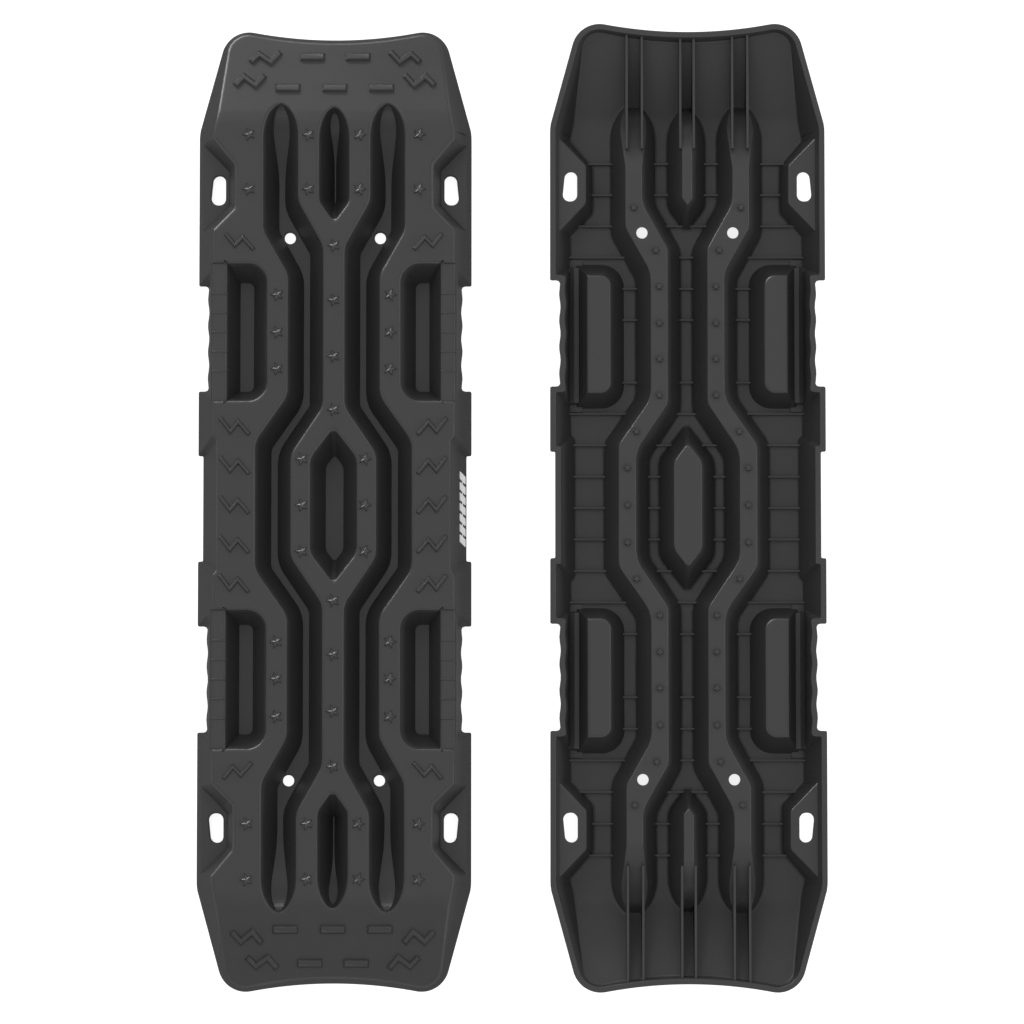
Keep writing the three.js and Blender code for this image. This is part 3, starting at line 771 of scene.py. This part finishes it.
def star(x, y, radius=8.0, inner=0.45, points=5):
    """Five ridged arms; one of them points to the nearer side of the board."""
    count = 2 * points
    angles = (0 if x > 0 else math.pi) + np.arange(count) * math.pi / points
    reach = np.where(np.arange(count) % 2, radius * inner, radius)
    around = np.stack([np.cos(angles), np.sin(angles)], axis=1)
    outline = around * reach[:, None]
    ends = around[::2] * (radius * 0.62)
    vertices = np.concatenate([
        ring(outline, -1), ring(outline, 0.2), ring(outline * 0.84, 1.7),
        ring(ends, RELIEF - 0.3), [(0, 0, RELIEF)],
    ]) + [x, y, DECK_Z]
    top = 2 * count
    middle = 3 * count + points
    faces = [tuple(range(count))[::-1]]
    for base in (0, count):
        for i in range(count):
            j = (i + 1) % count
            faces.append((base + i, base + j, base + j + count, base + i + count))
    for arm in range(points):
        tip = top + 2 * arm
        before, after = top + (2 * arm - 1) % count, top + (2 * arm + 1) % count
        end = 3 * count + arm
        faces += [(before, tip, end), (tip, after, end), (before, end, middle), (end, after, middle)]
    return vertices, faces


def band(run, width):
    run = np.asarray(run, float)
    heading = unit(np.diff(run, axis=0))
    first = np.concatenate([heading[:1], heading])
    second = np.concatenate([heading, heading[-1:]])
    n0 = np.stack([-first[:, 1], first[:, 0]], axis=1)
    n1 = np.stack([-second[:, 1], second[:, 0]], axis=1)
    shift = (n0 + n1) * (width / 2) / (1 + (n0 * n1).sum(axis=1, keepdims=True))
    outline = np.concatenate([run - shift, (run + shift)[::-1]])
    area = np.cross(outline, np.roll(outline, -1, axis=0)).sum()
    return outline if area > 0 else outline[::-1]


def raised(outline, lean, height=RELIEF):
    """A low mould mark with leaning sides and a narrow top."""
    return loft([
        (outline, DECK_Z - 1), (outline, DECK_Z + 0.25),
        (inset(outline, lean * 0.7), DECK_Z + height * 0.84), (inset(outline, lean), DECK_Z + height),
    ])


STAR_PLACES = [
    (93.8, 409.7), (28.2, 409.3), (93.8, 348.9), (28.2, 348.9), (34.6, 50.8), (34.6, 0),
    (62.1, 231.9), (62.1, 190.5), (62.1, 150), (0, 286.5), (0, 226.1), (0, 163.9), (0, 105),
]


def deck_stars():
    places = {(sx * x, sy * y) for x, y in STAR_PLACES for sx, sy in SIGNS}
    return join([star(x, y) for x, y in sorted(places)])


def zigzags():
    run = np.array([(-124.5, 10), (-113.1, -5.3), (-104.4, 5.2), (-92.1, -9.2)])
    width, lean = 5.0, 1.6
    bodies = []
    for y in (-86.5, -43.4, 0, 43.4, 86.5):
        outline = band(run + [0, y], width)
        bodies += [raised(outline, lean), raised(mirror_x(outline), lean)]
    near = raised(band([(119.4, 299.9), (108.8, 286.6), (100.2, 295.5), (88, 281.7)], width), lean)
    bodies.append(to_quarters(near))
    return join(bodies)


def ramp_marks():
    runs = [
        [(94.1, 494.2), (84.3, 504.1), (71.6, 494.8), (60.9, 507)],
        [(110.5, 466.4), (100.4, 477.3), (87.8, 466.9), (77.5, 479.2)],
    ]
    bodies = [to_quarters(raised(band(run, 7.2), 2.3, RAMP_RELIEF)) for run in runs]
    for x, y in ((25.3, 501), (-25.3, 501), (0, 464), (51.8, 464), (-51.8, 464)):
        outline = np.array([(x - 14, y - 4.6), (x + 14, y - 4.6), (x + 14, y + 4.6), (x - 14, y + 4.6)])
        bodies.append(to_ends(raised(outline, 2.2, RAMP_RELIEF)))
    return join(bodies)


def channel_middle(y):
    ys = (0, 67, 117, 275, 318, 420)
    xs = (66.3, 66.3, 31.1, 31.1, 58.9, 58.9)
    return float(np.interp(y, ys, xs))


def stud(x, y):
    """Low five-armed foot under a channel."""
    angles = math.pi / 2 + np.arange(10) * math.pi / 5
    reach = np.where(np.arange(10) % 2, 2.2, 5.2)
    outline = np.stack([x + reach * np.cos(angles), y + reach * np.sin(angles)], axis=1)
    outline = rounded(outline, [0.5, 0.4] * 5, 2)
    return loft([
        (inset(outline, 0.3), 0), (inset(outline, 0.1), 0.5), (outline, 2), (outline, KEEL_Z + 1),
    ])


def studs():
    bodies = []
    for y in STUD_YS:
        for sx, sy in (SIGNS if y else SIGNS[:2]):
            bodies.append(mirrored(stud(channel_middle(y), y), sx, sy))
    return join(bodies)


# ---- underside -----------------------------------------------------------


def deck_ribs():
    bodies = []
    for i in range(-11, 12):
        if abs(i) != 5:
            y = i * RIB_PITCH
            bodies.append(block(
                -149, 149, y - RIB_THICK / 2, y + RIB_THICK / 2, UNDER_Z - RIB_DEPTH, DECK_Z - 1, 0.35
            ))
    return join(bodies)


def end_ribs():
    bodies = []
    for x in END_RIB_XS:
        bodies.append(block(x - 1.7, x + 1.7, END_RIB_START, 530, KEEL_Z, DECK_Z - 1, 0.45))
    return to_quarters(join(bodies))


# ---- printed mark on the inner skirt -------------------------------------


def print_bars():
    """Plain slanted bars on a thin stripe, flat in (along, up the skirt, out)."""
    pitch = (PRINT_LENGTH - PRINT_SLANT) / PRINT_BARS
    half, middle = PRINT_LENGTH / 2 - PRINT_SLANT, PRINT_HEIGHT / 2
    stripe = np.array([(-half, middle - 1), (half, middle - 1), (half, middle + 1), (-half, middle + 1)])
    outlines = [(stripe, PRINT_THICK - 0.2)]
    for i in range(PRINT_BARS):
        x0 = -PRINT_LENGTH / 2 + pitch * i
        x1 = x0 + pitch - PRINT_SPACE
        bar = [(x0, 0), (x1, 0), (x1 + PRINT_SLANT, PRINT_HEIGHT), (x0 + PRINT_SLANT, PRINT_HEIGHT)]
        outlines.append((rounded(bar, [1.0] * 4, 3), PRINT_THICK))
    return join([
        loft([(outline, 0), (outline, thick - 0.2), (inset(outline, 0.2), thick)])
        for outline, thick in outlines
    ])


def print_place():
    lean = math.atan2(DECK_Z, WAIST_HALF - WAIST_DECK_HALF)
    out = Vector((math.sin(lean), 0, math.cos(lean)))
    rise = Vector((-math.cos(lean), 0, math.sin(lean)))
    foot = Vector((WAIST_HALF, 0, 0)) + rise * PRINT_FOOT + out * PRINT_LIFT
    turn = Matrix((Vector((0, 1, 0)), rise, out)).transposed().to_4x4()
    return Matrix.Translation(foot) @ turn


# ---- the board -----------------------------------------------------------


def sliced(body):
    """Mesh of a solid with its long faces cut into strips that end at every row of relief."""
    ys = {
        0.0, 15, 31, 63, 75, 96, 115, 130, 140, 176, 212, 265, 291,
        310, 320, 340, 364, 380, 395, 440, 464, 473, 487, 501,
    }
    ys |= {float(y) for _, y in STAR_PLACES} | {float(y) for y in STUD_YS} | {43.4, 86.5, PIN[1]}
    return slice_mesh(mesh_of(body), planes_at(sorted(ys), (0, 1, 0)))


def board_mesh():
    outer = sliced(loft(shell_levels(DECK_Z, 0, 5.0, 0.8)))
    inner = sliced(loft(shell_levels(UNDER_Z, WALL, 3.0, 0.8)))

    channel = to_sides(loft(wall_levels(channel_outline, KEEL_Z, TROUGH_WALL)))
    slot = to_ends(loft(wall_levels(slot_outline, KEEL_Z, 6.0)))
    pocket = loft(wall_levels(pocket_outline, KEEL_Z, 6.6))
    walls = sliced(join([channel, slot, pocket]))
    walls = cut(walls, scoops(5.2))
    walls = add(walls, join([to_quarters(hand_skin()), to_quarters(notch_skin())]))
    walls = add(walls, to_quarters(pin_boss()))
    across = (0, 11, 24, 34, 50, 62, 75, 90, 105, 120)
    ribs = slice_mesh(mesh_of(deck_ribs()), planes_at(across, (1, 0, 0)))
    walls = add(walls, add(ribs, sliced(end_ribs())))
    walls = add(walls, to_quarters(grip_bar()))
    walls = common(walls, outer.copy())

    channel_cut = to_sides(loft(hollow_levels(channel_outline, FLOOR_Z)))
    slot_cut = to_ends(loft(hollow_levels(slot_outline, FLOOR_Z)))
    pocket_cut = loft(hollow_levels(pocket_outline, FLOOR_Z))
    hollows = cut(mesh_of(join([channel_cut, slot_cut, pocket_cut])), scoops())
    hollows = add(hollows, join([to_quarters(hand_hollow()), to_quarters(notch_hollow())]))

    board = cut(outer, inner)
    board = add(board, walls)
    board = cut(board, hollows)
    board = cut(board, to_quarters(grip_drop()))
    board = cut(board, join([to_quarters(strap_slot()), to_quarters(pin_cut())]))
    board = add(board, join([deck_stars(), zigzags(), ramp_marks()]))
    board = add(board, studs())
    board = add(board, grip_ridges())
    return board


def bend_ends(mesh):
    """Cuts the mesh across the ramp bends, then lets the ends sink."""
    steps = (-8, -5, -2.5, 0, 2.5, 5, 8)
    planes = planes_at([RAMP_START + step for step in steps], (0, 1, 0))
    planes += [((0, 0, z), (0, 0, 1)) for z in (FIRM_Z, UNDER_Z)]
    slice_mesh(mesh, planes)
    shape = bmesh.new()
    shape.from_mesh(mesh)
    for vertex in shape.verts:
        vertex.co.z = float(sunk(np.float64(vertex.co.y), np.float64(vertex.co.z)))
    shape.to_mesh(mesh)
    shape.free()
    return mesh


def mark_sharp(mesh, angle):
    shape = bmesh.new()
    shape.from_mesh(mesh)
    for face in shape.faces:
        face.smooth = True
    for edge in shape.edges:
        if len(edge.link_faces) == 2:
            edge.smooth = edge.calc_face_angle(0) < angle
    shape.to_mesh(mesh)
    shape.free()


# ---- materials -----------------------------------------------------------


def scuff_and_sheen_share(nodes, links, place, broad):
    """Share of scuffing and painted highlight: full on all rounds between level faces and walls, convex
    and concave alike, broken up by a broad noise.
    """
    split = nodes.new("ShaderNodeSeparateXYZ")
    level = nodes.new("ShaderNodeMath")
    level.operation = "ABSOLUTE"
    links.new(place.outputs["Normal"], split.inputs["Vector"])
    links.new(split.outputs["Z"], level.inputs[0])
    shares = []
    for low, high in ((0.47, 0.6), (0.91, 0.82)):
        edge = nodes.new("ShaderNodeMapRange")
        edge.interpolation_type = "SMOOTHSTEP"
        edge.inputs["From Min"].default_value = low
        edge.inputs["From Max"].default_value = high
        links.new(level.outputs["Value"], edge.inputs["Value"])
        shares.append(edge.outputs["Result"])
    patches = nodes.new("ShaderNodeMapRange")
    patches.inputs["From Min"].default_value = 0.35
    patches.inputs["From Max"].default_value = 0.65
    patches.inputs["To Min"].default_value = 0.5
    links.new(broad.outputs["Fac"], patches.inputs["Value"])
    shares.append(patches.outputs["Result"])
    total = shares[0]
    for share in shares[1:]:
        product = nodes.new("ShaderNodeMath")
        product.operation = "MULTIPLY"
        links.new(total, product.inputs[0])
        links.new(share, product.inputs[1])
        total = product.outputs["Value"]
    return total


def plastic(name, colour, roughness, scuff_and_sheen_colour, grain=1.0):
    """Moulded plastic with a fine grain, uneven gloss and its rounds lightened by scuffs and a painted
    highlight.
    """
    material = bpy.data.materials.new(name)
    material.use_nodes = True
    nodes, links = material.node_tree.nodes, material.node_tree.links
    shader = nodes["Principled BSDF"]
    shader.inputs["Specular IOR Level"].default_value = 0.35
    place = nodes.new("ShaderNodeTexCoord")
    fine = nodes.new("ShaderNodeTexNoise")
    fine.inputs["Scale"].default_value = 900
    fine.inputs["Detail"].default_value = 3
    broad = nodes.new("ShaderNodeTexNoise")
    broad.inputs["Scale"].default_value = 9
    broad.inputs["Detail"].default_value = 5
    for noise in (fine, broad):
        links.new(place.outputs["Object"], noise.inputs["Vector"])
    bump = nodes.new("ShaderNodeBump")
    bump.inputs["Strength"].default_value = 0.12 * grain
    bump.inputs["Distance"].default_value = 0.0004
    links.new(fine.outputs["Fac"], bump.inputs["Height"])
    links.new(bump.outputs["Normal"], shader.inputs["Normal"])
    spread = nodes.new("ShaderNodeMapRange")
    spread.inputs["From Min"].default_value = 0.3
    spread.inputs["From Max"].default_value = 0.7
    spread.inputs["To Min"].default_value = roughness - 0.04
    spread.inputs["To Max"].default_value = roughness + 0.05
    links.new(broad.outputs["Fac"], spread.inputs["Value"])
    # painted highlight and scuffs: a share that lightens every round
    scuff_and_sheen = scuff_and_sheen_share(nodes, links, place, broad)
    polish = nodes.new("ShaderNodeMath")
    polish.operation = "MULTIPLY_ADD"
    polish.inputs[1].default_value = -0.1
    links.new(scuff_and_sheen, polish.inputs[0])
    links.new(spread.outputs["Result"], polish.inputs[2])
    links.new(polish.outputs["Value"], shader.inputs["Roughness"])
    # the rounds take the lighter tone, partly scuffed, partly a painted highlight
    tint = nodes.new("ShaderNodeMix")
    tint.data_type = "RGBA"
    tint.inputs["A"].default_value = (*colour, 1)
    tint.inputs["B"].default_value = (*scuff_and_sheen_colour, 1)
    links.new(scuff_and_sheen, tint.inputs["Factor"])
    links.new(tint.outputs["Result"], shader.inputs["Base Color"])
    return material


# ---- pieces --------------------------------------------------------------


def place_piece(name, mesh, material, matrix, body, nodes):
    mesh.name = name
    mesh.transform(matrix)
    mesh.materials.clear()
    mesh.materials.append(material)
    piece = bpy.data.objects.new(name, mesh)
    bpy.context.scene.collection.objects.link(piece)
    modifier = piece.modifiers.new("even", "WEIGHTED_NORMAL")
    modifier.keep_sharp = True
    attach(piece, body)
    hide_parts(nodes)


def build():
    board = bend_ends(board_mesh())
    mark_sharp(board, SHARP_ANGLE)
    material = plastic("board_plastic", PLASTIC_COLOUR, PLASTIC_ROUGHNESS, PLASTIC_SCUFF_AND_SHEEN)
    ink = plastic("white_print", INK_COLOUR, INK_ROUGHNESS, INK_SCUFF_AND_SHEEN, grain=0.5)
    low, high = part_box("board_face_up")
    middle = (low + high) / 2
    up = Matrix.Translation((middle.x, middle.y, 0)) @ Matrix.Scale(MM, 4)
    low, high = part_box("board_underside_up")
    middle = (low + high) / 2
    turn = Matrix.Translation((middle.x, middle.y, high.z)) @ Matrix.Rotation(math.pi, 4, "Y")
    turn = turn @ Matrix.Scale(MM, 4)
    place_piece("face_up_board", board.copy(), material, up, "ground_board", "board_face_up")
    place_piece("turned_board", board, material, turn, "turned_board", "board_underside_up")
    print_mesh = mesh_of(print_bars())
    mark_sharp(print_mesh, SHARP_ANGLE)
    place = up @ print_place()
    place_piece("skirt_print", print_mesh, ink, place, "ground_board", "side_mark")


# ---- floor, light and camera ---------------------------------------------


def floor():
    bpy.ops.mesh.primitive_plane_add(size=FLOOR_SIZE, location=(0, 0, 0))
    plane = bpy.context.object
    plane.name = "floor"
    material = bpy.data.materials.new("floor")
    material.use_nodes = True
    shader = material.node_tree.nodes["Principled BSDF"]
    shader.inputs["Base Color"].default_value = (0.55, 0.55, 0.55, 1)
    shader.inputs["Roughness"].default_value = 0.9
    shader.inputs["Emission Color"].default_value = (1, 1, 1, 1)
    shader.inputs["Emission Strength"].default_value = 0.85
    plane.data.materials.append(material)
    plane.visible_glossy = False


def area_light(name, place, target, size, power, diffuse=True, glossy=True):
    data = bpy.data.lights.new(name, "AREA")
    data.shape = "RECTANGLE"
    data.size, data.size_y = size
    data.energy = power
    light = bpy.data.objects.new(name, data)
    light.location = place
    light.rotation_euler = (Vector(target) - Vector(place)).to_track_quat("-Z", "Y").to_euler()
    light.visible_diffuse = diffuse
    light.visible_glossy = glossy
    bpy.context.scene.collection.objects.link(light)


def lights():
    world = bpy.data.worlds.new("studio")
    world.use_nodes = True
    nodes, links = world.node_tree.nodes, world.node_tree.links
    place = nodes.new("ShaderNodeTexCoord")
    split = nodes.new("ShaderNodeSeparateXYZ")
    rise = nodes.new("ShaderNodeMapRange")
    rise.inputs["From Min"].default_value = -0.1
    rise.inputs["From Max"].default_value = 1.0
    rise.inputs["To Min"].default_value = 0.2
    rise.inputs["To Max"].default_value = 1.02
    links.new(place.outputs["Generated"], split.inputs["Vector"])
    links.new(split.outputs["Z"], rise.inputs["Value"])
    links.new(rise.outputs["Result"], nodes["Background"].inputs["Strength"])
    nodes["Background"].inputs["Color"].default_value = (1, 1, 1, 1)
    bpy.context.scene.world = world
    area_light("key", (-1.1, 1.8, 2.8), (0, 0, 0), (0.9, 0.9), 8)
    area_light("rim", (-2.1, 3.5, 0.72), (0, 0, 0), (3.6, 0.35), 190, diffuse=False)
    area_light("fill", (2.6, 0.1, 0.55), (0, 0, 0), (1.5, 0.6), 26, glossy=False)
    bpy.context.scene.view_settings.view_transform = "Standard"


def camera():
    data = bpy.data.cameras.new("camera")
    data.sensor_width = 36
    data.lens = CAMERA_LENS
    view = bpy.data.objects.new("camera", data)
    away = Vector((0, -math.cos(CAMERA_ELEVATION), math.sin(CAMERA_ELEVATION)))
    view.location = Vector(CAMERA_AIM) + away * CAMERA_DISTANCE
    view.rotation_euler = (math.pi / 2 - CAMERA_ELEVATION, 0, 0)
    bpy.context.scene.collection.objects.link(view)
    bpy.context.scene.camera = view


camera()
lights()
floor()
build()
